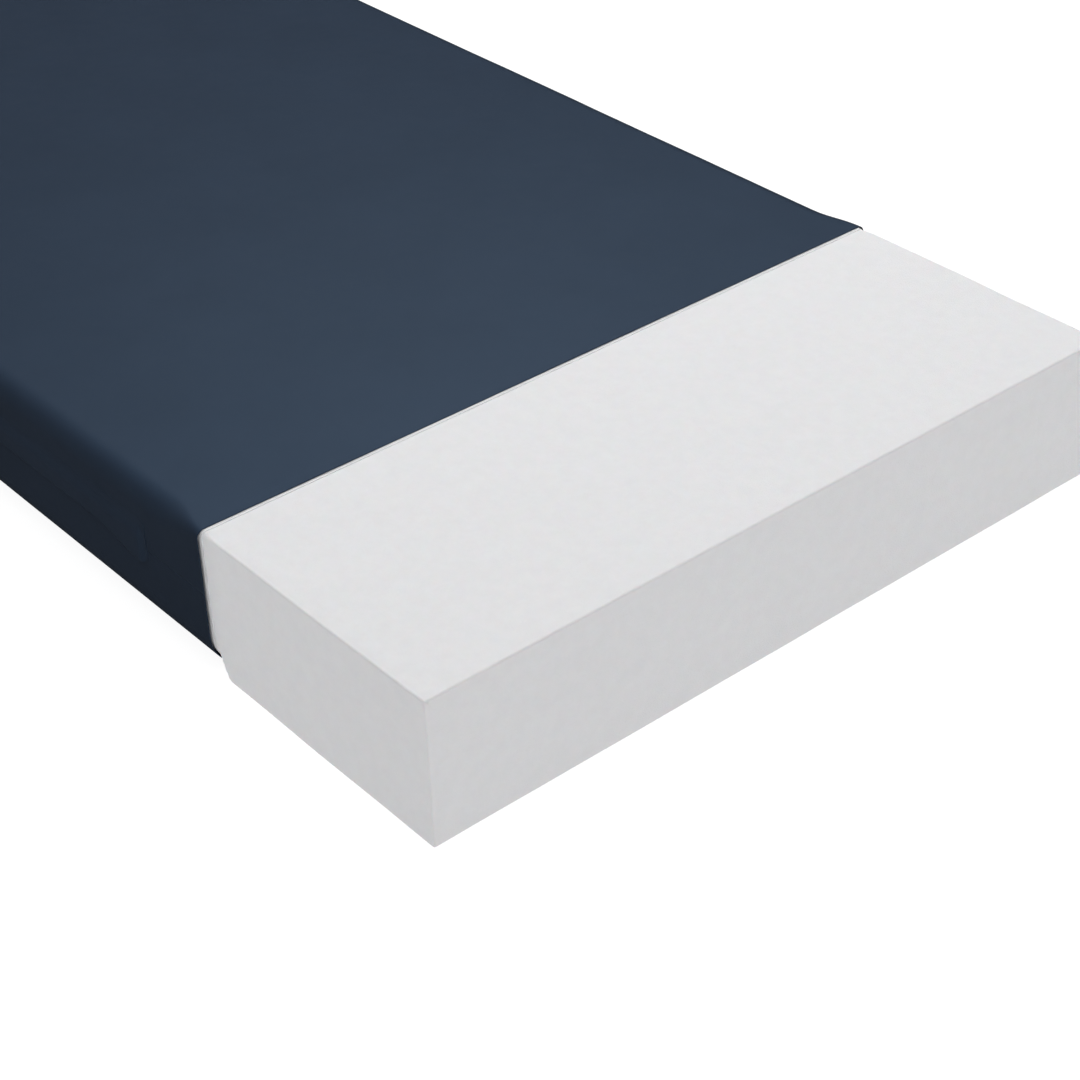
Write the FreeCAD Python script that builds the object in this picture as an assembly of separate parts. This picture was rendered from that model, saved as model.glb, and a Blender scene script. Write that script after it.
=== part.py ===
"""Pressure relief mattress: a foam slab in a two-part zipped cover, shown with the cover open at the foot end.

Millimetres. +X points to the foot end, +Y across the mattress, +Z up. The origin is on the floor, under the
middle of the mattress. A "layer" below is a distance outwards from the foam core's own faces.
"""
import FreeCAD, Part
import os

# Foam core: a nominal 80 x 35 x 6.5 inch slab
CORE_LENGTH = 2032.0
CORE_WIDTH = 889.0
CORE_HEIGHT = 165.1
PLAN_RADIUS = 50.0          # vertical corners at the head end, squeezed round by the cover
TOP_RADIUS = 20.0           # long edges inside the cover, on top
BOTTOM_RADIUS = 42.0        # long edges inside the cover, below
CUT_RADIUS = 3.0            # long edges of the bare foam
FOOT_RADIUS = 2.0           # edges of the bare foot face
BARE_LENGTH = 338.5         # foam left bare at the foot end
RECOVERY_LENGTH = 20.0      # foam that springs back to its cut shape past the liner

# Layers round the core
LINER_INNER = 0.3
LINER_OUTER = 1.0
LINER_SHOWS = 2.0           # liner past the cover's edge
COVER_INNER_FLAT = 1.2      # above and below the core
COVER_INNER_SIDE = 3.4      # at the sides and head, with room for the slider
COVER_THICKNESS = 0.8
COVER_TOP_RADIUS = 22.0
COVER_BOTTOM_RADIUS = 44.0
FLAP_LAYER = 7.6            # middle of the flap where it hangs clear of the slider
FLAP_ROOT_LAYER = 4.9       # middle of the flap at its seam
FLAP_THICKNESS = 0.8

# Heights above the floor
ZIP_HEIGHT = 102.0
TEETH_GAP = 0.2
TEETH_HEIGHT = 3.0
TEETH_THICKNESS = 1.6
TAPE_HEIGHT = 15.0
TAPE_THICKNESS = 0.5
TAPE_SHOWS = 2.0            # tape between the teeth and the edge of each cover panel
FLAP_ROOT_HEIGHT = 121.0
FLAP_BEND_HEIGHT = 113.0
FLAP_LOW_HEIGHT = 93.0
FLAP_TIP_HEIGHT = 78.0      # the flap's end hangs lower than the rest
FLAP_DROOP_LENGTH = 90.0
FLAP_CORNER_RADIUS = 10.0
FLAP_RELIEF = 1.0           # slit between the head flap and each side flap

# Along the mattress, back from the foot face
ZIP_FROM_FOOT = 452.0       # end of both zip tapes
LEFT_FLAP_FROM_FOOT = 438.0
RIGHT_FLAP_FROM_FOOT = 520.0
BOTTOM_STOP_FROM_FOOT = 458.0
SLIDER_FROM_FOOT = 478.0    # middle of the slider when the zip is closed

# Zip hardware
SLIDER_LENGTH = 11.0
SLIDER_NOSE_HEIGHT = 9.4
SLIDER_TAIL_HEIGHT = 8.8
PLATE_THICKNESS = 0.75
CHANNEL_DEPTH = 2.1         # between the slider's two plates
TAPE_SLOT = 1.0             # between the lips of the slider's side walls
LIP_HEIGHT = 1.0
POST_LENGTH = 3.2
POST_HEIGHT = 1.6
POST_FROM_MIDDLE = 3.2
BRIDGE_LENGTH = 6.4
BRIDGE_HEIGHT = 2.0
BRIDGE_RISE = 1.9
BRIDGE_WALL = 0.8
BRIDGE_LEG = 1.0
TAB_PIVOT_FROM_MIDDLE = -1.2
TAB_PIVOT_LAYER = 5.5
TAB_THICKNESS = 0.8
TAB_HEIGHT = 6.0
TAB_LENGTH = 26.0
TAB_EYE_LENGTH = 5.0
TAB_EYE_HEIGHT = 2.6
STOP_LENGTH = 3.0
STOP_THICKNESS = 2.0
STOP_CLEARANCE = 0.4

# Care label inside the cover
LABEL_LENGTH = 60.0
LABEL_BOTTOM = 52.0
LABEL_TOP = 92.0
LABEL_THICKNESS = 0.3
LABEL_FROM_HEAD = 420.0

PAST = 10.0                 # how far a cutting solid runs past what it cuts

# Places that follow from the values above
FLAP_OUTER = FLAP_LAYER + FLAP_THICKNESS / 2
COVER_OUTER_SIDE = COVER_INNER_SIDE + COVER_THICKNESS
COVER_OUTER_FLAT = COVER_INNER_FLAT + COVER_THICKNESS
ZIP_LAYER = COVER_INNER_SIDE - TAPE_THICKNESS / 2
OVERALL_LENGTH = CORE_LENGTH + FLAP_OUTER
FOOT_X = OVERALL_LENGTH / 2
HEAD_X = FOOT_X - CORE_LENGTH
HEM_X = FOOT_X - BARE_LENGTH
LINER_END_X = HEM_X + LINER_SHOWS
CORE_Z = COVER_OUTER_FLAT
CORE_TOP_Z = CORE_Z + CORE_HEIGHT
HALF_WIDTH = CORE_WIDTH / 2
ZIP_END_X = FOOT_X - ZIP_FROM_FOOT
SLIDER_X = FOOT_X - SLIDER_FROM_FOOT
UPPER_TEETH = (ZIP_HEIGHT + TEETH_GAP / 2, ZIP_HEIGHT + TEETH_GAP / 2 + TEETH_HEIGHT)
LOWER_TEETH = (ZIP_HEIGHT - TEETH_GAP / 2 - TEETH_HEIGHT, ZIP_HEIGHT - TEETH_GAP / 2)
UPPER_PANEL_EDGE = UPPER_TEETH[1] + TAPE_SHOWS
LOWER_PANEL_EDGE = LOWER_TEETH[0] - TAPE_SHOWS


def vec(x, y, z):
    return FreeCAD.Vector(x, y, z)


def box(x_range, y_range, z_range):
    """A box from its low and high limits."""
    lows = [min(limits) for limits in (x_range, y_range, z_range)]
    sizes = [abs(b - a) for a, b in (x_range, y_range, z_range)]
    return Part.makeBox(*sizes, vec(*lows))


def plan_wire(layer, end_x):
    """The mattress outline seen from above: square at end_x, with round corners at the head."""
    half = HALF_WIDTH + layer
    head = HEAD_X - layer
    radius = PLAN_RADIUS + layer
    bulge = radius * (1 - 0.5 ** 0.5)
    sides = []
    for side in (-1, 1):
        corner = vec(head + bulge, side * (half - bulge), 0)
        on_side = vec(head + radius, side * half, 0)
        on_head = vec(head, side * (half - radius), 0)
        sides.append((vec(end_x, side * half, 0), on_side, corner, on_head))
    left, right = sides
    edges = [
        Part.LineSegment(left[0], left[1]).toShape(),
        Part.Arc(left[1], left[2], left[3]).toShape(),
        Part.LineSegment(left[3], right[3]).toShape(),
        Part.Arc(right[3], right[2], right[1]).toShape(),
        Part.LineSegment(right[1], right[0]).toShape(),
        Part.LineSegment(right[0], left[0]).toShape(),
    ]
    return Part.Wire(edges)


def slab(layer, bottom, top, end_x):
    """A flat slab with the mattress outline."""
    solid = Part.Face(plan_wire(layer, end_x)).extrude(vec(0, 0, top - bottom))
    solid.translate(vec(0, 0, bottom))
    return solid


def rim(solid, height, end_x):
    """The slab's edges at one height, without the straight one at its open end."""
    found = []
    for edge in solid.Edges:
        bounds = edge.BoundBox
        level = abs(bounds.ZMin - height) < 0.01 and abs(bounds.ZMax - height) < 0.01
        if level and bounds.XMin < end_x - 1:
            found.append(edge)
    return found


def rounded_slab(side_layer, flat_layer, end_x, top_radius, bottom_radius):
    """A slab round the core, with its top and bottom rims rounded except at its open end."""
    bottom = CORE_Z - flat_layer
    top = CORE_TOP_Z + flat_layer
    solid = slab(side_layer, bottom, top, end_x)
    solid = solid.makeFillet(top_radius, rim(solid, top, end_x))
    return solid.makeFillet(bottom_radius, rim(solid, bottom, end_x))


def band(inner_layer, outer_layer, bottom, top, left_end, right_end):
    """A strip that runs along the left side, round the head and back along the right side."""
    longest = max(left_end, right_end)
    strip = slab(outer_layer, bottom, top, longest)
    strip = strip.cut(slab(inner_layer, bottom - PAST, top + PAST, longest + PAST))
    for side, end in ((-1, left_end), (1, right_end)):
        if end < longest:
            beyond = box((end, longest + PAST), (0, side * CORE_WIDTH), (bottom - PAST, top + PAST))
            strip = strip.cut(beyond)
    return strip


def side_box(side, x_range, layers, z_range):
    """A box on one long side, placed by its layers outwards from the core."""
    y_range = [side * (HALF_WIDTH + layer) for layer in layers]
    return box(x_range, y_range, z_range)


def section_wire(x, top_radius, bottom_radius):
    """The core's cross-section at x: a rectangle with rounded corners."""
    corners = [
        (-HALF_WIDTH, CORE_Z, 1, 1, bottom_radius),
        (-HALF_WIDTH, CORE_TOP_Z, 1, -1, top_radius),
        (HALF_WIDTH, CORE_TOP_Z, -1, -1, top_radius),
        (HALF_WIDTH, CORE_Z, -1, 1, bottom_radius),
    ]
    arcs = []
    for index, (y, z, inward_y, inward_z, radius) in enumerate(corners):
        bulge = radius * (1 - 0.5 ** 0.5)
        on_flat = vec(x, y + inward_y * radius, z)
        on_side = vec(x, y, z + inward_z * radius)
        middle = vec(x, y + inward_y * bulge, z + inward_z * bulge)
        ends = (on_flat, on_side) if index % 2 == 0 else (on_side, on_flat)
        arcs.append((ends[0], middle, ends[1]))
    edges = []
    for index, arc in enumerate(arcs):
        following = arcs[(index + 1) % len(arcs)]
        edges.append(Part.Arc(*arc).toShape())
        edges.append(Part.LineSegment(arc[2], following[0]).toShape())
    return Part.Wire(edges)


def foam_core():
    """The slab: squeezed round inside the cover, springing back to sharp cut edges past it."""
    covered = rounded_slab(0, 0, LINER_END_X, TOP_RADIUS, BOTTOM_RADIUS)
    bare_x = LINER_END_X + RECOVERY_LENGTH
    squeezed = section_wire(LINER_END_X, TOP_RADIUS, BOTTOM_RADIUS)
    cut_shape = section_wire(bare_x, CUT_RADIUS, CUT_RADIUS)
    recovery = Part.makeLoft([squeezed, cut_shape], True, True)
    bare = Part.Face(cut_shape).extrude(vec(FOOT_X - bare_x, 0, 0))
    foot_edges = [edge for edge in bare.Edges if edge.BoundBox.XMin > FOOT_X - 0.01]
    bare = bare.makeFillet(FOOT_RADIUS, foot_edges)
    return covered.fuse([recovery, bare]).removeSplitter()


def fire_barrier_sock():
    """A thin white sock over the core, closed at the head."""
    outer = rounded_slab(LINER_OUTER, LINER_OUTER, LINER_END_X,
                         TOP_RADIUS + LINER_OUTER, BOTTOM_RADIUS + LINER_OUTER)
    inner = rounded_slab(LINER_INNER, LINER_INNER, LINER_END_X + PAST,
                         TOP_RADIUS + LINER_INNER, BOTTOM_RADIUS + LINER_INNER)
    return outer.cut(inner)


def cover_shell():
    """Both cover panels as one skin, closed at the head and open at the hem."""
    outer = rounded_slab(COVER_OUTER_SIDE, COVER_OUTER_FLAT, HEM_X,
                         COVER_TOP_RADIUS + COVER_THICKNESS, COVER_BOTTOM_RADIUS + COVER_THICKNESS)
    inner = rounded_slab(COVER_INNER_SIDE, COVER_INNER_FLAT, HEM_X + PAST,
                         COVER_TOP_RADIUS, COVER_BOTTOM_RADIUS)
    return outer.cut(inner)


def below_zip(upper_limit, start_x, end_x):
    """All the space under a height, between two places along the mattress."""
    return box((start_x, end_x), (-CORE_WIDTH, CORE_WIDTH), (-PAST, upper_limit))


def cover_top_panel():
    """The stretch top, down to the zip, and to the side seam past the zip's ends."""
    panel = cover_shell().cut(below_zip(UPPER_PANEL_EDGE, HEAD_X - PAST, ZIP_END_X))
    return panel.cut(below_zip(LOWER_PANEL_EDGE, ZIP_END_X - PAST, HEM_X + PAST))


def cover_base_panel():
    """The base with its own side walls, up to the zip."""
    return cover_shell().common(below_zip(LOWER_PANEL_EDGE, HEAD_X - PAST, HEM_X + PAST))


def zip_tape(bottom, top):
    half = TAPE_THICKNESS / 2
    return band(ZIP_LAYER - half, ZIP_LAYER + half, bottom, top, ZIP_END_X, ZIP_END_X)


def zip_teeth(limits):
    """One half of the closed chain. It stops at the slider's post on the right side."""
    half = TEETH_THICKNESS / 2
    left_end = FOOT_X - BOTTOM_STOP_FROM_FOOT
    right_end = SLIDER_X + POST_FROM_MIDDLE - POST_LENGTH / 2 - STOP_CLEARANCE
    return band(ZIP_LAYER - half, ZIP_LAYER + half, limits[0], limits[1], left_end, right_end)


def zip_bottom_stop():
    """The crimp across both halves at the chain's left end."""
    start = FOOT_X - BOTTOM_STOP_FROM_FOOT
    half = STOP_THICKNESS / 2
    heights = (LOWER_TEETH[0] - STOP_CLEARANCE, UPPER_TEETH[1] + STOP_CLEARANCE)
    stop = side_box(-1, (start, start + STOP_LENGTH), (ZIP_LAYER - half, ZIP_LAYER + half), heights)
    tape = side_box(-1, (start - PAST, start + PAST), (ZIP_LAYER - TAPE_THICKNESS / 2,
                                                      ZIP_LAYER + TAPE_THICKNESS / 2),
                    (heights[0] - PAST, LOWER_TEETH[0]))
    upper_tape = tape.copy()
    upper_tape.translate(vec(0, 0, UPPER_TEETH[1] - heights[0] + PAST))
    return stop.cut(tape).cut(upper_tape)


def zip_top_stops():
    """A crimp on each half, just past the closed slider's nose."""
    start = SLIDER_X + SLIDER_LENGTH / 2 + STOP_CLEARANCE
    half = STOP_THICKNESS / 2
    layers = (ZIP_LAYER - half, ZIP_LAYER + half)
    stops = [side_box(1, (start, start + STOP_LENGTH), layers, limits) for limits in (UPPER_TEETH, LOWER_TEETH)]
    return Part.makeCompound(stops)


def zip_slider_body():
    """Two plates joined by the post, with side lips and a bridge for the pull tab."""
    tail = SLIDER_X - SLIDER_LENGTH / 2
    nose = SLIDER_X + SLIDER_LENGTH / 2
    half_tail = SLIDER_TAIL_HEIGHT / 2
    half_nose = SLIDER_NOSE_HEIGHT / 2
    outline = [(tail, -half_tail), (SLIDER_X, -half_nose), (nose, -half_nose),
               (nose, half_nose), (SLIDER_X, half_nose), (tail, half_tail)]
    points = [vec(x, 0, ZIP_HEIGHT + z) for x, z in outline]
    half_depth = CHANNEL_DEPTH / 2 + PLATE_THICKNESS
    middle_y = HALF_WIDTH + ZIP_LAYER
    body = Part.Face(Part.makePolygon(points + points[:1])).extrude(vec(0, 2 * half_depth, 0))
    body.translate(vec(0, middle_y - half_depth, 0))
    upright = [edge for edge in body.Edges if edge.BoundBox.YLength > half_depth]
    body = body.makeFillet(0.8, upright)

    lip_inside = half_tail - LIP_HEIGHT
    channel = box((tail - PAST, nose + PAST), (middle_y - CHANNEL_DEPTH / 2, middle_y + CHANNEL_DEPTH / 2),
                  (ZIP_HEIGHT - lip_inside, ZIP_HEIGHT + lip_inside))
    tape_slot = box((tail - PAST, nose + PAST), (middle_y - TAPE_SLOT / 2, middle_y + TAPE_SLOT / 2),
                    (ZIP_HEIGHT - PAST, ZIP_HEIGHT + PAST))
    body = body.cut(channel).cut(tape_slot)

    post_x = SLIDER_X + POST_FROM_MIDDLE
    post = box((post_x - POST_LENGTH / 2, post_x + POST_LENGTH / 2),
               (middle_y - CHANNEL_DEPTH / 2, middle_y + CHANNEL_DEPTH / 2),
               (ZIP_HEIGHT - POST_HEIGHT / 2, ZIP_HEIGHT + POST_HEIGHT / 2))

    plate_y = middle_y + half_depth
    bridge = box((SLIDER_X - BRIDGE_LENGTH / 2, SLIDER_X + BRIDGE_LENGTH / 2), (plate_y, plate_y + BRIDGE_RISE),
                 (ZIP_HEIGHT - BRIDGE_HEIGHT / 2, ZIP_HEIGHT + BRIDGE_HEIGHT / 2))
    crown = [edge for edge in bridge.Edges
             if edge.BoundBox.YMin > plate_y + BRIDGE_RISE - 0.01 and edge.BoundBox.ZLength > 1]
    bridge = bridge.makeFillet(BRIDGE_WALL, crown)
    window = box((SLIDER_X - BRIDGE_LENGTH / 2 + BRIDGE_LEG, SLIDER_X + BRIDGE_LENGTH / 2 - BRIDGE_LEG),
                 (plate_y, plate_y + BRIDGE_RISE - BRIDGE_WALL), (ZIP_HEIGHT - PAST, ZIP_HEIGHT + PAST))
    return body.fuse([post, bridge.cut(window)]).removeSplitter()


def zip_pull_tab():
    """A flat tab whose round end bar passes under the slider's bridge."""
    pivot_x = SLIDER_X + TAB_PIVOT_FROM_MIDDLE
    pivot_y = HALF_WIDTH + TAB_PIVOT_LAYER
    half = TAB_THICKNESS / 2
    low = ZIP_HEIGHT - TAB_HEIGHT / 2
    plate = box((pivot_x - TAB_LENGTH, pivot_x), (pivot_y - half, pivot_y + half), (low, low + TAB_HEIGHT))
    grip_corners = [edge for edge in plate.Edges
                    if edge.BoundBox.YLength > half and edge.BoundBox.XMax < pivot_x - PAST]
    plate = plate.makeFillet(TAB_HEIGHT * 0.4, grip_corners)
    eye = box((pivot_x - half - TAB_EYE_LENGTH, pivot_x - half), (pivot_y - PAST, pivot_y + PAST),
              (ZIP_HEIGHT - TAB_EYE_HEIGHT / 2, ZIP_HEIGHT + TAB_EYE_HEIGHT / 2))
    bar = Part.makeCylinder(half, TAB_HEIGHT, vec(pivot_x, pivot_y, low), vec(0, 0, 1))
    return plate.cut(eye).fuse(bar).removeSplitter()


def flap_face(place, low):
    """The flap's cross-section: out from its round-edged seam, then straight down to low.

    place(layer, height) gives the point in space.
    """
    half = FLAP_THICKNESS / 2
    run = FLAP_LAYER - FLAP_ROOT_LAYER
    drop = FLAP_ROOT_HEIGHT - FLAP_BEND_HEIGHT
    slant = (run * run + drop * drop) ** 0.5
    out, up = half * drop / slant, half * run / slant
    miter = half * (slant - drop) / run
    inner_root = place(FLAP_ROOT_LAYER - out, FLAP_ROOT_HEIGHT - up)
    outer_root = place(FLAP_ROOT_LAYER + out, FLAP_ROOT_HEIGHT + up)
    tip_of_root = place(FLAP_ROOT_LAYER - up, FLAP_ROOT_HEIGHT + out)
    corners = [
        outer_root,
        place(FLAP_LAYER + half, FLAP_BEND_HEIGHT + miter),
        place(FLAP_LAYER + half, low),
        place(FLAP_LAYER - half, low),
        place(FLAP_LAYER - half, FLAP_BEND_HEIGHT - miter),
        inner_root,
    ]
    edges = [Part.LineSegment(a, b).toShape() for a, b in zip(corners, corners[1:])]
    edges.append(Part.Arc(inner_root, tip_of_root, outer_root).toShape())
    return Part.Face(Part.Wire(edges))


def side_flap(side, end_x):
    """A weather flap down one long side. Its last stretch hangs lower, to a round corner."""
    start_x = HEAD_X + PLAN_RADIUS + FLAP_RELIEF
    section = flap_face(lambda layer, z: vec(start_x, side * (HALF_WIDTH + layer), z), FLAP_TIP_HEIGHT)
    flap = section.extrude(vec(end_x - start_x, 0, 0))
    lower_edge = [
        (start_x - PAST, FLAP_TIP_HEIGHT - PAST),
        (end_x + PAST, FLAP_TIP_HEIGHT - PAST),
        (end_x + PAST, FLAP_TIP_HEIGHT),
        (end_x, FLAP_TIP_HEIGHT),
        (end_x - FLAP_DROOP_LENGTH, FLAP_LOW_HEIGHT),
        (start_x - PAST, FLAP_LOW_HEIGHT),
    ]
    corners = [vec(x, -CORE_WIDTH, z) for x, z in lower_edge]
    trimmed = flap.cut(Part.Face(Part.makePolygon(corners + corners[:1])).extrude(vec(0, 2 * CORE_WIDTH, 0)))
    tip = [edge for edge in trimmed.Edges
           if edge.BoundBox.XMin > end_x - 0.01 and edge.BoundBox.ZMax < FLAP_TIP_HEIGHT + 0.01]
    return trimmed.makeFillet(FLAP_CORNER_RADIUS, tip)


def zip_flap_head():
    """The fixed weather flap across the head, with both corners."""
    reach = HALF_WIDTH - PLAN_RADIUS
    section = flap_face(lambda layer, z: vec(HEAD_X - layer, -reach, z), FLAP_LOW_HEIGHT)
    straight = section.extrude(vec(0, 2 * reach, 0))
    corners = []
    for side in (-1, 1):
        face = flap_face(lambda layer, z: vec(HEAD_X - layer, side * reach, z), FLAP_LOW_HEIGHT)
        centre = vec(HEAD_X + PLAN_RADIUS, side * reach, 0)
        corners.append(face.revolve(centre, vec(0, 0, 1), -90 * side))
    return straight.fuse(corners).removeSplitter()


def care_label():
    """A blank label inside the left wall, hanging from the lower zip tape."""
    start = HEAD_X + LABEL_FROM_HEAD
    outer = ZIP_LAYER - TAPE_THICKNESS / 2
    return side_box(-1, (start, start + LABEL_LENGTH), (outer - LABEL_THICKNESS, outer), (LABEL_BOTTOM, LABEL_TOP))


def build_all():
    return {
        "foam_core": foam_core(),
        "fire_barrier_sock": fire_barrier_sock(),
        "cover_top_panel": cover_top_panel(),
        "cover_base_panel": cover_base_panel(),
        "zip_tape_upper": zip_tape(UPPER_TEETH[1], UPPER_TEETH[1] + TAPE_HEIGHT),
        "zip_tape_lower": zip_tape(LOWER_TEETH[0] - TAPE_HEIGHT, LOWER_TEETH[0]),
        "zip_teeth_upper": zip_teeth(UPPER_TEETH),
        "zip_teeth_lower": zip_teeth(LOWER_TEETH),
        "zip_bottom_stop": zip_bottom_stop(),
        "zip_top_stops": zip_top_stops(),
        "zip_slider_body": zip_slider_body(),
        "zip_pull_tab": zip_pull_tab(),
        "zip_flap_left": side_flap(-1, FOOT_X - LEFT_FLAP_FROM_FOOT),
        "zip_flap_right": side_flap(1, FOOT_X - RIGHT_FLAP_FROM_FOOT),
        "zip_flap_head": zip_flap_head(),
        "care_label": care_label(),
    }


os.makedirs("parts", exist_ok=True)
for name, shape in build_all().items():
    print(f"{name}: {len(shape.Solids)} solid(s), valid {shape.isValid()}, {shape.Volume / 1000:.1f} cm3")
    shape.exportStep(f"parts/{name}.step")
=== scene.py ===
"""Looks of a foam hospital mattress: a navy coated cover, cut away at the foot to show the white foam."""
import math

import bpy
from mathutils import Euler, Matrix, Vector, noise


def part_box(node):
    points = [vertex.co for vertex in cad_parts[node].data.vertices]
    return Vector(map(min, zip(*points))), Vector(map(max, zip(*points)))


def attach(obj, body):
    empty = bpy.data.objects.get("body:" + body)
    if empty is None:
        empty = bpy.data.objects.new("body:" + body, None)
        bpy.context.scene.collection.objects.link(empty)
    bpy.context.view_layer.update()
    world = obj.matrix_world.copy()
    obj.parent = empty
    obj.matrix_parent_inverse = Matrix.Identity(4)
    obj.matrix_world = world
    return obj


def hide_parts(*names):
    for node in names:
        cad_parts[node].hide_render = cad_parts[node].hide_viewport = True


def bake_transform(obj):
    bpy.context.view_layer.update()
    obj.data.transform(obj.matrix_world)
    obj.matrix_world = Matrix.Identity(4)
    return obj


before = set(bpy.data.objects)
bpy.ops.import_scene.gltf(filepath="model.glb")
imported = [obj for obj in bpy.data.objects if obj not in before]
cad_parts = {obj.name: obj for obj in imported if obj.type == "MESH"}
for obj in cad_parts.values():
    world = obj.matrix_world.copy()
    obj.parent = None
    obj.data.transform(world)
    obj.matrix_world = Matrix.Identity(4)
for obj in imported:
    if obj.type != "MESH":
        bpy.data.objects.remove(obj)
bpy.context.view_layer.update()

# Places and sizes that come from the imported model, in metres
CORE_LOW, CORE_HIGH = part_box("foam_core")
SOCK_LOW, SOCK_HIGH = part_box("fire_barrier_sock")
TOP_LOW, TOP_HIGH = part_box("cover_top_panel")
BASE_LOW, BASE_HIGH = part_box("cover_base_panel")
LEFT_FLAP_LOW, LEFT_FLAP_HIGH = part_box("zip_flap_left")
RIGHT_FLAP_LOW, RIGHT_FLAP_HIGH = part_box("zip_flap_right")
UPPER_TAPE_LOW, UPPER_TAPE_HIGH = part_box("zip_tape_upper")
LOWER_TAPE_LOW, LOWER_TAPE_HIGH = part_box("zip_tape_lower")
UPPER_TEETH_LOW, UPPER_TEETH_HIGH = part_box("zip_teeth_upper")
LOWER_TEETH_LOW, LOWER_TEETH_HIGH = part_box("zip_teeth_lower")
LABEL_LOW, LABEL_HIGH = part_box("care_label")
SLIDER_LOW, SLIDER_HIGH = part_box("zip_slider_body")
STOP_LOW, STOP_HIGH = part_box("zip_bottom_stop")

FOOT_X = CORE_HIGH.x
HEAD_X = CORE_LOW.x
HALF_WIDTH = CORE_HIGH.y
HEM_X = TOP_HIGH.x
ZIP_END_X = UPPER_TAPE_HIGH.x
CHAIN_LEFT_X = STOP_LOW.x
CHAIN_Z = (UPPER_TEETH_LOW.z + LOWER_TEETH_HIGH.z) / 2
CHAIN_WIDTH = UPPER_TEETH_HIGH.z - LOWER_TEETH_LOW.z
SEAM_Z = BASE_HIGH.z

# The foam, and the radii that it has under the cover and at its bare cut edges
PLAN_RADIUS = 0.050
CORE_TOP_RADIUS = 0.020
CORE_BOTTOM_RADIUS = 0.042
HEM_RADIUS = 0.006
CUT_RADIUS = 0.0022
FOOT_RADIUS = 0.0022
RECOVERY_LENGTH = 0.020
NARROWING_LENGTH = 0.070
SETTLE_LENGTH = 0.26
SETTLE_DROP = CORE_LOW.z - 0.0002
SWELL = 0.0006

# The sock and the cover; a stand is how far a skin lies outside the foam
SOCK_STAND = 0.001
SOCK_THICKNESS = 0.0006
SOCK_SINK = 0.0004
SOCK_RUFFLE = 0.0005
SOCK_END_X = SOCK_HIGH.x + 0.001
COVER_STAND = 0.0042
COVER_PLAN_RADIUS = PLAN_RADIUS + COVER_STAND
COVER_TOP_RADIUS = 0.0228
COVER_BOTTOM_RADIUS = 0.0448
COVER_THICKNESS = 0.0008
BROAD_SLACK = 0.0005
FINE_SLACK = 0.0002
HEM_LIFT = 0.0005
HEM_LIFT_LENGTH = 0.028
HEM_PRESS = 0.0001
PANEL_GAP = 0.002
UPPER_EDGE_Z = SEAM_Z + CHAIN_WIDTH + 2 * PANEL_GAP

# The zip, its flap and the label
TAPE_THICKNESS = 0.0005
TAPE_LAYER = UPPER_TAPE_HIGH.y - HALF_WIDTH - TAPE_THICKNESS / 2
TAPE_GAP = 0.0001
COIL_PITCH = 0.0020
COIL_CORNERS = 6
COIL_HALF_THICK = 0.00078
COIL_HALF_WIDE = 0.00062
COIL_PROFILE = ((0.62, 0.85), (0.62, 0.95), (1.0, 1.0), (0.7, 0.6))
COIL_IN_SLIDER = 0.0012
CHAIN_RIGHT_X = (SLIDER_LOW.x + SLIDER_HIGH.x) / 2 + COIL_IN_SLIDER
STITCH_PITCH = 0.0035
STITCH_HALF_LONG = 0.0012
STITCH_HALF_THICK = 0.00022
STITCH_DIP = 0.0003
STITCH_INSET = 0.0025
STITCH_CORNERS = 5
STITCH_RINGS = ((-1.0, 0.25), (-0.6, 1.0), (0.6, 1.0), (1.0, 0.25))
FLAP_ROOT_Z = 0.121
FLAP_BEND_Z = 0.113
FLAP_LOW_Z = 0.093
FLAP_TOP_Z = FLAP_ROOT_Z + 0.010
FLAP_THICKNESS = 0.0008
FLAP_LAYER = 0.0076
FLAP_FLAT_LAYER = 0.0041
FLAP_SEAM_LAYER = 0.0049
FLAP_CORNER = 0.010
FLAP_DROOP_LENGTH = 0.10
FLAP_STEPS = 8
FLAP_WAVE = 0.0002
LABEL_THICKNESS = 0.0003
LABEL_CURL = 0.0004

# How closely the meshes are divided
FINE_INSETS = (0.0, 0.0007, 0.0015, 0.0024, 0.0036, 0.0055, 0.008, 0.011, 0.0145, 0.0185, 0.023, 0.028,
               0.0335, 0.039, 0.0448, 0.0542)
FOOT_INSETS = (0.0036, 0.0022, 0.0015, 0.0007, 0.0003, 0.0)
FLAP_END_INSETS = (0.012, 0.010, 0.008, 0.006, 0.004, 0.0025, 0.0012, 0.0004, 0.0)
CLOSEST_LINES = 0.0002
ACROSS_SPACING = 0.016
ALONG_SPACING = 0.012
HEM_SPACING = 0.004
WALL_SPACING = 0.008
STATION_SPACING = 0.006
TAPE_SPACING = 0.0025

# The studio: each lamp's name, place, target, size in metres and power in watts, then the camera
LAMPS = (
    ("overhead", (0.35, -0.25, 3.6), (0.6, -0.1, 0.1), (5.0, 5.0), 92),
    ("beyond", (-0.8, 1.35, 2.55), (0.68, -0.2, 0.17), (1.8, 1.3), 25),
    ("right_fill", (3.6, 0.6, 1.4), (0.6, -0.1, 0.1), (2.5, 2.0), 9),
)
CAMERA_LENS = 79.45
CAMERA_FROM_CORNER = (1.2786, -0.9129, 1.2508)
CAMERA_HEADING = math.radians(50.754)
CAMERA_TILT = math.radians(34.819)
CAMERA_ROLL = math.radians(-1.933)
FLOOR_SIZE = 40
FLOOR_DROP = 0.0005
BACKDROP_SIDES = 48
BACKDROP_RADIUS = 19.0
BACKDROP_HEIGHT = 16.0


# ---------------------------------------------------------------- materials

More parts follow.
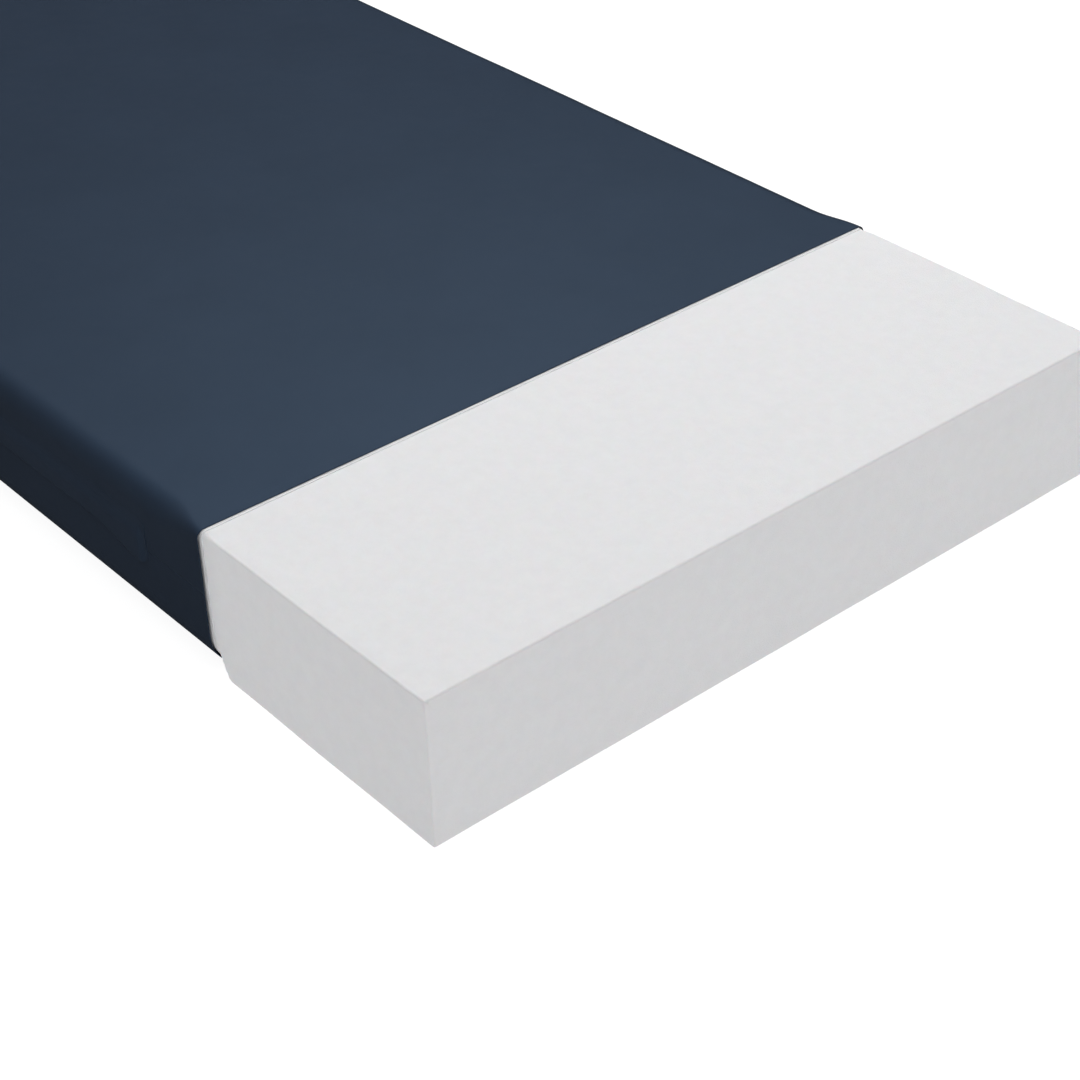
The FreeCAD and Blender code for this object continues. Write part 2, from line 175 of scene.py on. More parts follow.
class Look:
    """A Principled material with its nodes, in object coordinates."""

    def __init__(self, name, base, roughness, **sockets):
        self.material = bpy.data.materials.new(name)
        self.material.use_nodes = True
        self.nodes = self.material.node_tree.nodes
        self.links = self.material.node_tree.links
        self.shader = self.nodes["Principled BSDF"]
        self.shader.inputs["Base Color"].default_value = (*base, 1)
        self.shader.inputs["Roughness"].default_value = roughness
        for socket, value in sockets.items():
            self.shader.inputs[socket.replace("_", " ")].default_value = value
        self.place = self.nodes.new("ShaderNodeTexCoord").outputs["Object"]

    def add(self, kind, settings=(), **inputs):
        node = self.nodes.new(kind)
        for key, value in dict(settings).items():
            setattr(node, key, value)
        for key, value in inputs.items():
            socket = node.inputs[key.replace("_", " ")]
            if isinstance(value, bpy.types.NodeSocket):
                self.links.new(value, socket)
            else:
                socket.default_value = value
        return node

    def noise(self, scale, detail=3.0, roughness=0.55):
        node = self.add("ShaderNodeTexNoise", Vector=self.place, Scale=scale, Detail=detail,
                        Roughness=roughness)
        return node.outputs["Fac"]

    def pores(self, scale):
        return self.add("ShaderNodeTexVoronoi", Vector=self.place, Scale=scale).outputs["Distance"]

    def wave(self, scale, direction, distortion=0.0):
        node = self.add("ShaderNodeTexWave", {"bands_direction": direction}, Vector=self.place, Scale=scale,
                        Distortion=distortion, Detail=2.0)
        return node.outputs["Fac"]

    def math(self, operation, a, b):
        node = self.add("ShaderNodeMath", {"operation": operation})
        for socket, value in zip(node.inputs, (a, b)):
            if isinstance(value, bpy.types.NodeSocket):
                self.links.new(value, socket)
            else:
                socket.default_value = value
        return node.outputs[0]

    def ramp(self, factor, low, high, start=0.3, end=0.7):
        node = self.add("ShaderNodeValToRGB", Fac=factor)
        node.color_ramp.elements[0].position = start
        node.color_ramp.elements[1].position = end
        node.color_ramp.elements[0].color = (*low, 1)
        node.color_ramp.elements[1].color = (*high, 1)
        return node.outputs["Color"]

    def colour(self, socket):
        self.links.new(socket, self.shader.inputs["Base Color"])

    def rough(self, socket, low, high):
        node = self.add("ShaderNodeMapRange", Value=socket, To_Min=low, To_Max=high)
        self.links.new(node.outputs["Result"], self.shader.inputs["Roughness"])

    def bump(self, height, distance, strength=1.0):
        """Adds a layer of relief; distance is its real height in metres."""
        socket = self.shader.inputs["Normal"]
        below = socket.links[0].from_socket if socket.links else None
        node = self.add("ShaderNodeBump", Height=height, Distance=distance, Strength=strength)
        if below is not None:
            self.links.new(below, node.inputs["Normal"])
        self.links.new(node.outputs["Normal"], socket)


def shade(colour, factor):
    return tuple(channel * factor for channel in colour)


def foam_look():
    """White open-cell foam: fine pores, faint mottling, dead matte."""
    white = (0.87, 0.87, 0.885)
    look = Look("white_foam", white, 0.95, Specular_IOR_Level=0.15, Subsurface_Weight=0.12,
                Subsurface_Scale=0.006)
    mottle = look.noise(60.0, 4.0, 0.7)
    look.colour(look.ramp(mottle, shade(white, 0.975), white, 0.35, 0.65))
    look.bump(look.noise(420.0, 4.0, 0.7), 0.0004, 0.35)
    look.bump(look.pores(900.0), 0.0005, 0.45)
    return look.material


def cover_look(name, base):
    """Stretch knit under a smooth matte polyurethane coating."""
    look = Look(name, base, 0.5, Specular_IOR_Level=0.45, Specular_Tint=(0.10, 0.38, 0.78, 1))
    cloud = look.noise(7.0, 3.0)
    look.colour(look.ramp(cloud, shade(base, 0.94), shade(base, 1.05)))
    look.rough(look.noise(40.0, 3.0), 0.40, 0.48)
    look.bump(look.noise(55.0, 2.0), 0.0006, 0.12)
    rows = look.wave(420.0, "X", 0.6)
    columns = look.wave(420.0, "Y", 0.6)
    look.bump(look.math("MULTIPLY", rows, columns), 0.00012, 0.35)
    return look.material


def woven_look(name, base, scale, height, lift=1.25):
    """Plain woven or knitted yarn."""
    look = Look(name, base, 0.85, Specular_IOR_Level=0.25, Sheen_Weight=0.15)
    over = look.wave(scale, "X", 0.4)
    under = look.wave(scale, "Z", 0.4)
    weave = look.math("MAXIMUM", over, under)
    look.colour(look.ramp(weave, base, shade(base, lift), 0.2, 0.9))
    look.bump(weave, height, 0.7)
    return look.material


def nylon_look():
    """Dark moulded nylon, with painted sheen: its colour is lighter in random patches. Its roughness also
    varies at random.
    """
    base = (0.013, 0.021, 0.042)
    look = Look("zip_nylon", base, 0.42, Specular_IOR_Level=0.5)
    # painted sheen: the colour is up to 1.5 times lighter in random noise patches
    look.colour(look.ramp(look.noise(500.0, 2.0), base, shade(base, 1.5)))
    look.rough(look.noise(300.0, 2.0), 0.34, 0.5)
    look.bump(look.noise(2500.0, 2.0), 0.00004, 0.4)
    return look.material


def gunmetal_look():
    """Dull-plated die-cast zinc, with specks worn bright."""
    base = (0.40, 0.405, 0.42)
    look = Look("zip_gunmetal", base, 0.34, Metallic=0.55)
    worn = look.noise(1600.0, 5.0, 0.7)
    look.colour(look.ramp(worn, base, (0.62, 0.62, 0.63), 0.62, 0.72))
    look.rough(look.noise(900.0, 3.0), 0.26, 0.40)
    look.bump(look.noise(1200.0, 3.0), 0.00005, 0.5)
    return look.material


def floor_look():
    """A plain pale studio floor."""
    look = Look("studio_floor", (0.2, 0.2, 0.2), 0.9, Specular_IOR_Level=0.0, Emission_Color=(1, 1, 1, 1),
                Emission_Strength=0.93)
    look.colour(look.ramp(look.noise(1.5, 2.0), (0.195, 0.195, 0.2), (0.205, 0.205, 0.21)))
    return look.material


NAVY = (0.0228, 0.0330, 0.0530)
FOAM = foam_look()
COVER = cover_look("navy_cover", NAVY)
COVER_BASE = cover_look("navy_cover_base", shade(NAVY, 0.97))
SOCK = woven_look("white_knit", (0.90, 0.90, 0.91), 900.0, 0.0002, 1.06)
TAPE = woven_look("zip_tape_weave", (0.011, 0.018, 0.034), 1200.0, 0.00015, 1.6)
LABEL = woven_look("label_weave", (0.78, 0.78, 0.77), 1500.0, 0.0001, 1.06)
THREAD = woven_look("sewing_thread", (0.02, 0.028, 0.045), 3000.0, 0.0001, 1.5)
NYLON = nylon_look()
GUNMETAL = gunmetal_look()


# ---------------------------------------------------------------- mesh helpers

def mesh_piece(name, points, faces, material):
    mesh = bpy.data.meshes.new(name)
    mesh.from_pydata(points, [], faces)
    mesh.validate()
    mesh.materials.append(material)
    mesh.polygons.foreach_set("use_smooth", [True] * len(mesh.polygons))
    piece = bpy.data.objects.new(name, mesh)
    bpy.context.scene.collection.objects.link(piece)
    return piece


def thicken(piece, thickness, offset):
    """Cloth thickness, as real geometry."""
    solid = piece.modifiers.new("cloth", "SOLIDIFY")
    solid.thickness = thickness
    solid.offset = offset
    solid.use_even_offset = True
    broad = piece.modifiers.new("shading", "WEIGHTED_NORMAL")
    broad.weight = 90


def ease(value, start, end):
    """0 before start, 1 after end, smooth between."""
    t = min(max((value - start) / (end - start), 0.0), 1.0)
    return t * t * (3 - 2 * t)


def steps(low, high, spacing):
    count = max(1, math.ceil((high - low) / spacing))
    return [low + (high - low) * index / count for index in range(count)]


def insets(edge, fine_to, spacing):
    """Distances in from an edge: close together near it."""
    return [value for value in FINE_INSETS if value <= fine_to] + steps(fine_to, edge, spacing)[1:]


def tube_faces(start, rings, corners):
    """A closed tube's sides and end caps, over rings of points that begin at start."""
    faces = []
    for ring in range(rings - 1):
        low = start + ring * corners
        high = low + corners
        for corner in range(corners):
            following = (corner + 1) % corners
            faces.append([low + corner, low + following, high + following, high + corner])
    last = start + (rings - 1) * corners
    faces.append([start + corner for corner in reversed(range(corners))])
    faces.append([last + corner for corner in range(corners)])
    return faces


class Slab:
    """A box whose rims, head corners and foot rim are rounded. Points of the sharp box move onto it."""

    def __init__(self, low, high, plan_radius, top_radius, bottom_radius, foot_radius=0.0):
        self.low, self.high = low, high
        self.half = high.y
        self.plan_radius = plan_radius
        self.top_radius, self.bottom_radius = top_radius, bottom_radius
        self.foot_radius = foot_radius

    def lines(self):
        """Grid lines of the sharp box along X, Y and Z."""
        fine_to = FINE_INSETS[-1]
        across = insets(self.half, fine_to, ACROSS_SPACING)
        ys = sorted({round(side * (self.half - inset), 6) for inset in across for side in (-1, 1)} | {0.0})
        along = insets(self.high.x - self.low.x, fine_to, ALONG_SPACING)
        head = [self.low.x + inset for inset in along]
        near_hem = steps(HEM_X - 0.06, min(self.high.x, FOOT_X - 0.01), HEM_SPACING)
        foot = [self.high.x - inset for inset in FOOT_INSETS]
        xs = sorted({round(x, 6) for x in head + near_hem + foot if x <= self.high.x})
        height = self.high.z - self.low.z
        rise = insets(height / 2, COVER_BOTTOM_RADIUS, WALL_SPACING)
        zs = sorted({round(z, 6) for inset in rise for z in (self.low.z + inset, self.high.z - inset)})
        return self.spread(xs), ys, zs

    @staticmethod
    def spread(values):
        """Leaves out lines that come too close to the one before."""
        kept = [values[0]]
        for value in values[1:]:
            if value - kept[-1] > CLOSEST_LINES:
                kept.append(value)
        kept[-1] = values[-1]
        return kept

    def rounded(self, x, y, z):
        inset = min(self.half - abs(y), x - self.low.x)
        for radius, depth, sign, face in (
            (self.top_radius(x), self.high.z - z, -1, self.high.z),
            (self.bottom_radius(x), z - self.low.z, 1, self.low.z),
        ):
            if inset < radius and depth < radius:
                turn = (radius + inset - depth) / (2 * radius) * math.pi / 2
                x, y = self.moved_in(x, y, inset, radius * (1 - math.cos(turn)))
                z = face + sign * radius * (1 - math.sin(turn))
                return self.at_foot(x, y, z)
        x, y = self.moved_in(x, y, inset, inset)
        return self.at_foot(x, y, z)

    def moved_in(self, x, y, old_inset, new_inset):
        """Bends the square head corners round, and changes how far in a point lies."""
        radius = self.plan_radius
        inner_x = max(x, self.low.x + radius)
        reach = self.half - radius
        inner_y = min(max(y, -reach), reach)
        dx, dy = x - inner_x, y - inner_y
        length = math.hypot(dx, dy)
        if length < 1e-9 or old_inset >= radius:
            return x, y
        scale = (radius - new_inset) / length
        return inner_x + dx * scale, inner_y + dy * scale

    def at_foot(self, x, y, z):
        radius = self.foot_radius
        past = x - (self.high.x - radius)
        if radius == 0 or past <= 0:
            return x, y, z
        inset = radius * (1 - math.sqrt(max(0.0, 1 - (past / radius) ** 2)))
        middle = (self.low.z + self.high.z) / 2
        half_height = (self.high.z - self.low.z) / 2
        return x, y * (1 - inset / self.half), middle + (z - middle) * (1 - inset / half_height)


def slab_shell(name, slab, material, finish, z_limits=None, top=True, bottom=True, foot=False):
    """The skin of a Slab. finish(x, y, z) moves each point; z_limits keeps part of the side walls."""
    xs, ys, zs = slab.lines()
    if z_limits:
        low, high = z_limits
        zs = sorted({z for z in zs if low < z < high} | {low, high})
    index = {}
    points = []

    def vertex(i, j, k):
        key = (i, j, k)
        if key not in index:
            index[key] = len(points)
            points.append(finish(*slab.rounded(xs[i], ys[j], zs[k])))
        return index[key]

    last_x, last_y, last_z = len(xs) - 1, len(ys) - 1, len(zs) - 1
    faces = []
    for i in range(last_x):
        for j in range(last_y):
            if top:
                faces.append([vertex(i, j, last_z), vertex(i + 1, j, last_z),
                              vertex(i + 1, j + 1, last_z), vertex(i, j + 1, last_z)])
            if bottom:
                faces.append([vertex(i, j, 0), vertex(i, j + 1, 0),
                              vertex(i + 1, j + 1, 0), vertex(i + 1, j, 0)])
        for k in range(last_z):
            faces.append([vertex(i, 0, k), vertex(i + 1, 0, k), vertex(i + 1, 0, k + 1), vertex(i, 0, k + 1)])
            faces.append([vertex(i, last_y, k), vertex(i, last_y, k + 1),
                          vertex(i + 1, last_y, k + 1), vertex(i + 1, last_y, k)])
    for j in range(last_y):
        for k in range(last_z):
            faces.append([vertex(0, j, k), vertex(0, j, k + 1), vertex(0, j + 1, k + 1), vertex(0, j + 1, k)])
            if foot:
                faces.append([vertex(last_x, j, k), vertex(last_x, j + 1, k),
                              vertex(last_x, j + 1, k + 1), vertex(last_x, j, k + 1)])
    return mesh_piece(name, points, faces, material)


def unevenness(x, y, z, size, seed):
    return noise.noise(Vector((x / size + seed, y / size - seed, z / size)))


# ---------------------------------------------------------------- soft pieces

def narrowed(covered):
    """The top rim's radius under the taut cover: it tightens near the hem, where the foam is let go."""
    return lambda x: covered + (HEM_RADIUS - CORE_TOP_RADIUS) * ease(x, HEM_X - NARROWING_LENGTH, HEM_X)


def springing(covered):
    """A rim radius of the foam: as the cover presses it, then springing back to the sharp cut edge."""
    def radius(x):
        back = ease(x, SOCK_END_X - 0.002, SOCK_END_X + RECOVERY_LENGTH)
        return covered(x) + (CUT_RADIUS - covered(x)) * back
    return radius


def make_foam():
    slab = Slab(CORE_LOW, CORE_HIGH, PLAN_RADIUS, springing(narrowed(CORE_TOP_RADIUS)),
                springing(lambda x: CORE_BOTTOM_RADIUS), FOOT_RADIUS)

    def finish(x, y, z):
        """Settles the bare end onto the floor, and makes its faces a little uneven."""
        bare = ease(x, SOCK_END_X, SOCK_END_X + SETTLE_LENGTH)
        swell = SWELL * unevenness(x, y, z, 0.09, 3.1) * ease(x, SOCK_END_X, SOCK_END_X + 0.03)
        side = y / HALF_WIDTH
        height = (z - CORE_LOW.z) / (CORE_HIGH.z - CORE_LOW.z)
        at_end = ease(x, FOOT_X - 0.02, FOOT_X)
        return x + swell * at_end, y + swell * side ** 3, z - SETTLE_DROP * bare + swell * height

    foam = slab_shell("foam_core_look", slab, FOAM, finish, foot=True)
    return foam


def make_sock():
    high = Vector((SOCK_END_X, SOCK_HIGH.y, SOCK_HIGH.z))
    slab = Slab(SOCK_LOW, high, PLAN_RADIUS + SOCK_STAND, narrowed(CORE_TOP_RADIUS + SOCK_STAND),
                lambda x: CORE_BOTTOM_RADIUS + SOCK_STAND)

    def finish(x, y, z):
        """Ruffles the cut edge a little, and lays it down on the foam."""
        ruffle = SOCK_RUFFLE * unevenness(x, y, z, 0.02, 8.2) * ease(x, HEM_X - 0.01, SOCK_END_X)
        sink = SOCK_SINK * ease(x, HEM_X - 0.001, SOCK_END_X - 0.0005)
        middle = (SOCK_LOW.z + SOCK_HIGH.z) / 2
        return x + ruffle, y - sink * y / HALF_WIDTH, z - sink * (z - middle) / (SOCK_HIGH.z - middle)

    sock = slab_shell("fire_barrier_sock_look", slab, SOCK, finish)
    thicken(sock, SOCK_THICKNESS, -1)
    return sock


def hem_lift(x, y, z):
    """The cut edge of the cover lies on the sock, and stands a little off it in places."""
    near = ease(x, HEM_X - HEM_LIFT_LENGTH, HEM_X)
    return near * (HEM_LIFT * max(0.0, unevenness(y, z, 0, 0.16, 5.7)) - HEM_PRESS)


def cover_finish(slab):
    """Slack and lifted places of the cover."""
    def finish(x, y, z):
        out_y = 1 if y > 0 else -1
        on_side = 1 - ease(slab.half - abs(y), 0, 0.02)
        on_top = ease(z, slab.high.z - 0.02, slab.high.z)
        slack = BROAD_SLACK * unevenness(x, y, z, 0.22, 1.4) + FINE_SLACK * unevenness(x, y, z, 0.05, 4.4)
        lift = hem_lift(x, y, z)
        return x, y + out_y * on_side * (slack * 0.6 + lift * 0.8), z + on_top * (slack + lift)
    return finish


def make_cover_top():
    low = Vector((TOP_LOW.x, TOP_LOW.y, BASE_LOW.z))
    slab = Slab(low, TOP_HIGH, COVER_PLAN_RADIUS, narrowed(COVER_TOP_RADIUS), lambda x: COVER_BOTTOM_RADIUS)
    shape = cover_finish(slab)

    def finish(x, y, z):
        """Lifts the folded lower edge clear of the zip, and brings it down to the seam past the zip."""
        past_zip = ease(x, ZIP_END_X - 0.007, ZIP_END_X - 0.001)
        edge = UPPER_EDGE_Z + (SEAM_Z - UPPER_EDGE_Z) * past_zip
        wall_top = slab.high.z - COVER_TOP_RADIUS
        if z < wall_top:
            z = wall_top - (wall_top - z) * (wall_top - edge) / (wall_top - SEAM_Z)
        return shape(x, y, z)

    cover = slab_shell("cover_top_look", slab, COVER, finish, z_limits=(SEAM_Z, slab.high.z), bottom=False)
    thicken(cover, COVER_THICKNESS, -1)
    return cover


def make_cover_base():
    high = Vector((BASE_HIGH.x, BASE_HIGH.y, TOP_HIGH.z))
    slab = Slab(BASE_LOW, high, COVER_PLAN_RADIUS, narrowed(COVER_TOP_RADIUS), lambda x: COVER_BOTTOM_RADIUS)
    cover = slab_shell("cover_base_look", slab, COVER_BASE, cover_finish(slab),
                       z_limits=(BASE_LOW.z, SEAM_Z), top=False)
    thicken(cover, COVER_THICKNESS, -1)
    return cover


# ---------------------------------------------------------------- strips along the sides and round the head

def outline_at(distance, left_end):
    """(point on the core's outline, outward direction) at a distance along it from its left end."""
    straight = left_end - (HEAD_X + PLAN_RADIUS)
    arc = PLAN_RADIUS * math.pi / 2
    across = 2 * (HALF_WIDTH - PLAN_RADIUS)
    reach = HALF_WIDTH - PLAN_RADIUS
    corner_x = HEAD_X + PLAN_RADIUS
    if distance <= straight:
        return Vector((left_end - distance, -HALF_WIDTH, 0)), Vector((0, -1, 0))
    distance -= straight
    if distance <= arc:
        turn = distance / PLAN_RADIUS
        out = Vector((-math.sin(turn), -math.cos(turn), 0))
        return Vector((corner_x, -reach, 0)) + out * PLAN_RADIUS, out
    distance -= arc
    if distance <= across:
        return Vector((HEAD_X, -reach + distance, 0)), Vector((-1, 0, 0))
    distance -= across
    if distance <= arc:
        turn = distance / PLAN_RADIUS
        out = Vector((-math.cos(turn), math.sin(turn), 0))
        return Vector((corner_x, reach, 0)) + out * PLAN_RADIUS, out
    return Vector((corner_x + distance - arc, HALF_WIDTH, 0)), Vector((0, 1, 0))


def outline_length(left_end, right_end):
    straights = left_end + right_end - 2 * (HEAD_X + PLAN_RADIUS)
    return straights + PLAN_RADIUS * math.pi + 2 * (HALF_WIDTH - PLAN_RADIUS)


def strip(name, stations, left_end, section, material, thickness):
    """A strip of cloth: section(distance) lists its (layer, height) points at each station."""
    points, faces = [], []
    for distance in stations:
        place, out = outline_at(distance, left_end)
        for layer, height in section(distance):
            points.append(place + out * layer + Vector((0, 0, height)))
    rows = len(section(stations[0]))
    for i in range(len(stations) - 1):
        for k in range(rows - 1):
            a = i * rows + k
            faces.append([a, a + 1, a + rows + 1, a + rows])
    piece = mesh_piece(name, points, faces, material)
    thicken(piece, thickness, 0)
    return piece


def make_tapes():
    """The two woven tapes. Each runs on behind its coil, nearly to the middle of the chain."""
    length = outline_length(ZIP_END_X, ZIP_END_X)
    stations = steps(0.0, length, STATION_SPACING) + [length]
    for name, low, high, node in (
        ("zip_tape_upper_look", CHAIN_Z + TAPE_GAP, UPPER_TAPE_HIGH.z, "zip_tape_upper"),
        ("zip_tape_lower_look", LOWER_TAPE_LOW.z, CHAIN_Z - TAPE_GAP, "zip_tape_lower"),
    ):
        section = [(TAPE_LAYER, z) for z in steps(low, high, TAPE_SPACING) + [high]]
        tape = strip(name, stations, ZIP_END_X, lambda distance: section, TAPE, TAPE_THICKNESS)
        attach(tape, "cover")
        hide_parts(node)


def coil_turn(place, out, heights):
    """Points of one turn: a bar across its half of the chain, with a bulging head in the middle."""
    along = Vector((-out.y, out.x, 0))
    points = []
    for height, (width, thick) in zip(heights, COIL_PROFILE):
        for corner in range(COIL_CORNERS):
            angle = 2 * math.pi * (corner + 0.5) / COIL_CORNERS
            points.append(place + out * (TAPE_LAYER + COIL_HALF_THICK * thick * math.sin(angle))
                          + along * (COIL_HALF_WIDE * width * math.cos(angle)) + Vector((0, 0, height)))
    return points


def make_coils():
    """The two halves of the closed coil chain, one turn at a time."""
    turns = int(outline_length(CHAIN_LEFT_X, CHAIN_RIGHT_X) / COIL_PITCH)
    for name, node, side, edge, shift in (
        ("zip_coil_upper", "zip_teeth_upper", 1, UPPER_TEETH_HIGH.z, 0.25),
        ("zip_coil_lower", "zip_teeth_lower", -1, LOWER_TEETH_LOW.z, 0.75),
    ):
        heights = (edge, CHAIN_Z + side * 0.0014, CHAIN_Z + side * 0.0002, CHAIN_Z - side * 0.0003)
        points, faces = [], []
        for turn in range(turns):
            place, out = outline_at((turn + shift) * COIL_PITCH, CHAIN_LEFT_X)
            turn_faces = tube_faces(len(points), len(heights), COIL_CORNERS)
            points += coil_turn(place, out, heights)
            faces += [face if side < 0 else face[::-1] for face in turn_faces]
        coil = mesh_piece(name, points, faces, NYLON)
        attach(coil, "cover")
        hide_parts(node)


def flap_section(low, wave, stands_off=1.0):
    """From the flush upper edge, over the seam, out and straight down; flat on the wall at stands_off 0."""
    upper = [(0.0036, FLAP_TOP_Z), (0.0039, FLAP_ROOT_Z + 0.006), (0.0043, FLAP_ROOT_Z + 0.003),
             (FLAP_SEAM_LAYER, FLAP_ROOT_Z), (0.0058, FLAP_ROOT_Z - 0.003), (0.0068, FLAP_BEND_Z + 0.002),
             (0.0074, FLAP_BEND_Z - 0.001)]
    start = FLAP_BEND_Z - 0.004
    hanging = [(FLAP_LAYER + wave * (step / FLAP_STEPS) ** 2, start + (low - start) * step / FLAP_STEPS)
               for step in range(FLAP_STEPS + 1)]
    section = []
    for layer, z in upper + hanging:
        if layer > FLAP_FLAT_LAYER:
            layer = FLAP_FLAT_LAYER + (layer - FLAP_FLAT_LAYER) * stands_off
        section.append((layer, z))
    return section


def side_flap_low(x, end_x, box_low):
    """Height of a side flap's lower edge: it hangs lower at its end, to a round corner."""
    droop = ease(x, end_x - FLAP_DROOP_LENGTH, end_x - 0.004)
    low = FLAP_LOW_Z + (box_low - FLAP_LOW_Z) * droop
    past = x - (end_x - FLAP_CORNER)
    if past > 0:
        low += FLAP_CORNER * (1 - math.sqrt(max(0.0, 1 - (past / FLAP_CORNER) ** 2)))
    return low


def make_side_flap(name, node, side, box_low, box_high):
    """The flap on one side wall, bending at its seam. The left one's end is welded flat to the wall."""
    end_x = box_high.x
    start_x = box_low.x
    xs = steps(start_x, end_x - FLAP_END_INSETS[0], STATION_SPACING)
    xs += [end_x - inset for inset in FLAP_END_INSETS]
    total = outline_length(end_x, end_x)
    stations = [end_x - x if side < 0 else total - (end_x - x) for x in xs]
    x_at = dict(zip(stations, xs))

    def section(distance):
        x = x_at[distance]
        wave = FLAP_WAVE * unevenness(x, side, 0, 0.07, 2.2)
        flattened = ease(x, ZIP_END_X + 0.001, end_x - 0.002) if side < 0 else 0
        return flap_section(side_flap_low(x, end_x, box_low.z), wave, 1 - flattened)

    flap = strip(name, sorted(stations), end_x, section, COVER, FLAP_THICKNESS)
    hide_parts(node)
    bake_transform(flap)


def make_head_flap():
    arc = PLAN_RADIUS * math.pi / 2
    corner_x = HEAD_X + PLAN_RADIUS
    total = outline_length(corner_x, corner_x)
    stations = steps(0.0, arc, STATION_SPACING / 2) + steps(arc, total - arc, STATION_SPACING)
    stations += steps(total - arc, total, STATION_SPACING / 2) + [total]

    def section(distance):
        return flap_section(FLAP_LOW_Z, FLAP_WAVE * unevenness(distance, 0, 0, 0.07, 6.2))

    flap = strip("zip_flap_head_look", stations, corner_x, section, COVER, FLAP_THICKNESS)
    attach(flap, "cover")
    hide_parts("zip_flap_head")


def stitch_points(place, out, layer, height):
    """Points of one stitch, whose ends dip into the cloth."""
    along = Vector((-out.y, out.x, 0))
    points = []
    for end, size in STITCH_RINGS:
        for corner in range(STITCH_CORNERS):
            angle = 2 * math.pi * corner / STITCH_CORNERS
            rise = STITCH_HALF_THICK * size * math.sin(angle)
            depth = layer + STITCH_HALF_THICK * size * math.cos(angle) - (1 - size) * STITCH_DIP
            points.append(place + along * (end * STITCH_HALF_LONG) + out * depth
                          + Vector((0, 0, height + rise)))
    return points


def make_stitches():
    """A row of stitches along each panel's edge, where it is sewn to its zip tape."""
    layer = TOP_HIGH.y - HALF_WIDTH + 0.0001
    count = int(outline_length(ZIP_END_X, ZIP_END_X) / STITCH_PITCH)
    for name, height in (
        ("stitch_row_upper", UPPER_EDGE_Z + STITCH_INSET),
        ("stitch_row_lower", SEAM_Z - STITCH_INSET),
    ):
        points, faces = [], []
        for stitch in range(count):
            place, out = outline_at((stitch + 0.5) * STITCH_PITCH, ZIP_END_X)
            faces += tube_faces(len(points), len(STITCH_RINGS), STITCH_CORNERS)
            points += stitch_points(place, out, layer, height)
        row = mesh_piece(name, points, faces, THREAD)
        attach(row, "cover")


def make_label():
    """A blank woven label with a slight curl at its free lower edge."""
    points, faces = [], []
    columns, rows = 16, 12
    for i in range(columns + 1):
        for k in range(rows + 1):
            across, up = i / columns, k / rows
            curl = LABEL_CURL * (1 - up) ** 2 * math.sin(math.pi * across)
            points.append((LABEL_LOW.x + (LABEL_HIGH.x - LABEL_LOW.x) * across,
                           LABEL_LOW.y + LABEL_THICKNESS / 2 + curl,
                           LABEL_LOW.z + (LABEL_HIGH.z - LABEL_LOW.z) * up))
    for i in range(columns):
        for k in range(rows):
            a = i * (rows + 1) + k
            faces.append([a, a + 1, a + rows + 2, a + rows + 1])
    label = mesh_piece("care_label_look", points, faces, LABEL)
    thicken(label, LABEL_THICKNESS, 0)
    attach(label, "cover")
    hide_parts("care_label")


# ---------------------------------------------------------------- stage

def area_light(name, place, target, size, power):
    data = bpy.data.lights.new(name, "AREA")
    data.shape = "RECTANGLE"
    data.size, data.size_y = size
    data.energy = power
    light = bpy.data.objects.new(name, data)
    light.location = place
    light.rotation_euler = (Vector(target) - Vector(place)).to_track_quat("-Z", "Y").to_euler()
    bpy.context.scene.collection.objects.link(light)


def light_dome(world):
    """Even light from above the horizon, and little below it."""
    nodes, links = world.node_tree.nodes, world.node_tree.links
    direction = nodes.new("ShaderNodeTexCoord").outputs["Generated"]
    split = nodes.new("ShaderNodeSeparateXYZ")
    fade = nodes.new("ShaderNodeMapRange")
    for socket, value in (("From Min", 0.35), ("From Max", 0.8), ("To Min", 0.03), ("To Max", 0.36)):
        fade.inputs[socket].default_value = value
    links.new(direction, split.inputs["Vector"])
    links.new(split.outputs["Z"], fade.inputs["Value"])
    links.new(fade.outputs["Result"], nodes["Background"].inputs["Strength"])
    nodes["Background"].inputs["Color"].default_value = (1, 1, 1, 1)


def make_backdrop(look):
    """A far white wall all round. Only the camera sees it, so it throws no light on the object."""
    points, faces = [], []
    for side in range(BACKDROP_SIDES):
        angle = 2 * math.pi * side / BACKDROP_SIDES
        x = BACKDROP_RADIUS * math.cos(angle)
        y = BACKDROP_RADIUS * math.sin(angle)
        points += [(x, y, -0.01), (x, y, BACKDROP_HEIGHT)]
        following = (side + 1) % BACKDROP_SIDES
        faces.append([2 * side, 2 * side + 1, 2 * following + 1, 2 * following])
    wall = mesh_piece("backdrop", points, faces, look)
    wall.visible_diffuse = False
    wall.visible_glossy = False
    wall.visible_shadow = False


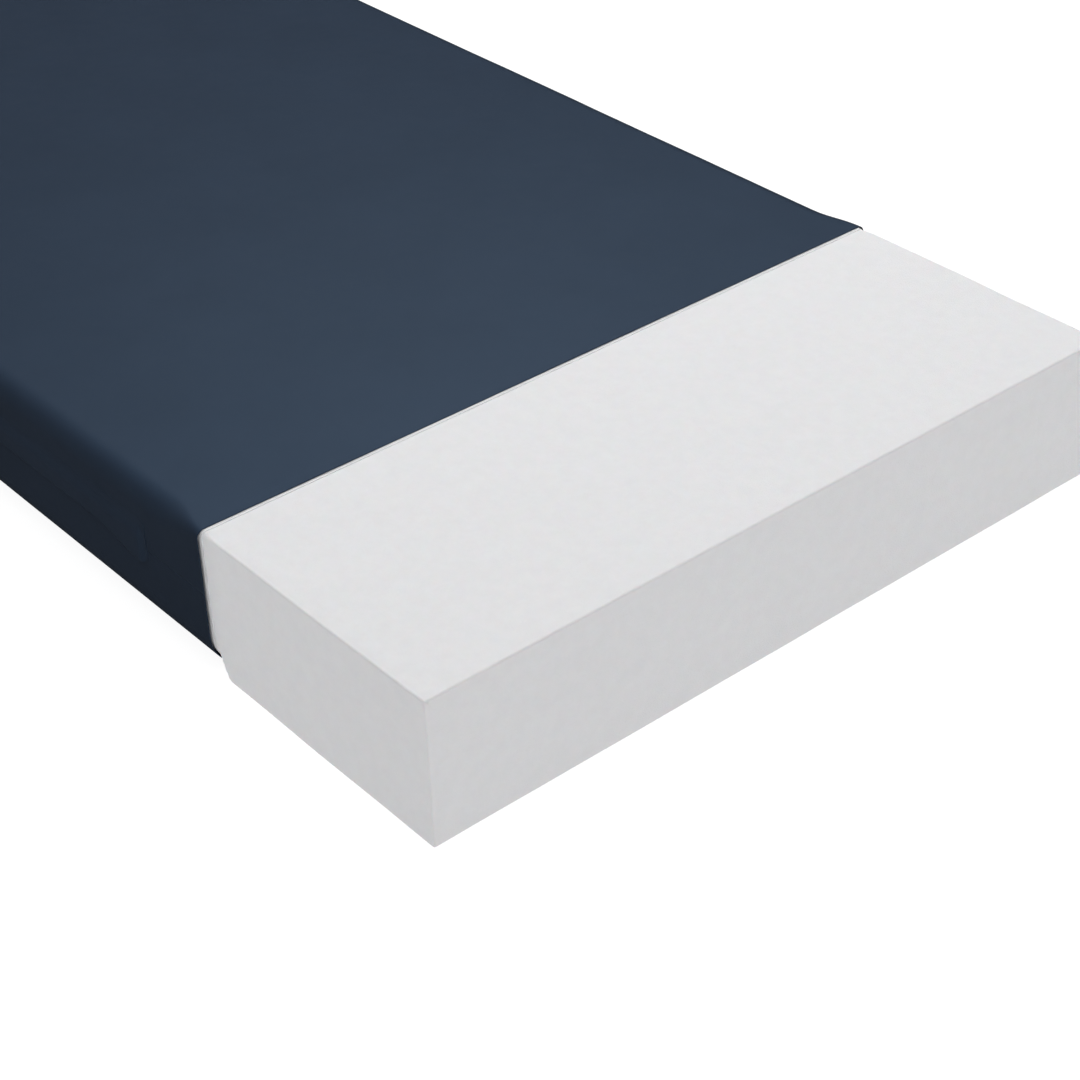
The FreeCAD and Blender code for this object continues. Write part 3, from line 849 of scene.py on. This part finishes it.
def make_stage():
    bpy.ops.mesh.primitive_grid_add(x_subdivisions=20, y_subdivisions=20, size=FLOOR_SIZE,
                                    location=(0, 0, -FLOOR_DROP))
    floor = bpy.context.object
    floor.name = "floor"
    look = floor_look()
    floor.data.materials.append(look)
    floor.visible_glossy = False
    make_backdrop(look)
    world = bpy.data.worlds.new("studio")
    world.use_nodes = True
    light_dome(world)
    bpy.context.scene.world = world
    for lamp in LAMPS:
        area_light(*lamp)
    bpy.context.scene.view_settings.view_transform = "Standard"


def make_camera():
    """Looks down on the foot end's near corner."""
    data = bpy.data.cameras.new("camera")
    data.sensor_width = 36
    data.lens = CAMERA_LENS
    data.clip_end = 60
    camera = bpy.data.objects.new("camera", data)
    near_corner = Vector((FOOT_X, -HALF_WIDTH, CORE_HIGH.z))
    camera.location = near_corner + Vector(CAMERA_FROM_CORNER)
    aim = Euler((math.pi / 2 - CAMERA_TILT, 0, CAMERA_HEADING)).to_matrix()
    camera.rotation_euler = (aim @ Euler((0, 0, CAMERA_ROLL)).to_matrix()).to_euler()
    bpy.context.scene.collection.objects.link(camera)
    bpy.context.scene.camera = camera


# ---------------------------------------------------------------- assembly

make_camera()
make_stage()
for maker, node, body, slot in (
    (make_foam, "foam_core", "core", "white_foam"),
    (make_sock, "fire_barrier_sock", "core", "white_knit"),
    (make_cover_top, "cover_top_panel", "cover", "navy_cover"),
    (make_cover_base, "cover_base_panel", "cover", "navy_cover"),
):
    soft_piece = maker()
    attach(soft_piece, body)
    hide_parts(node)
make_tapes()
make_coils()
make_stitches()
make_side_flap("zip_flap_left_look", "zip_flap_left", -1, LEFT_FLAP_LOW, LEFT_FLAP_HIGH)
make_side_flap("zip_flap_right_look", "zip_flap_right", 1, RIGHT_FLAP_LOW, RIGHT_FLAP_HIGH)
make_head_flap()
make_label()
for node in ("zip_slider_body", "zip_pull_tab", "zip_bottom_stop", "zip_top_stops"):
    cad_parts[node].data.materials.clear()
    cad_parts[node].data.materials.append(GUNMETAL)
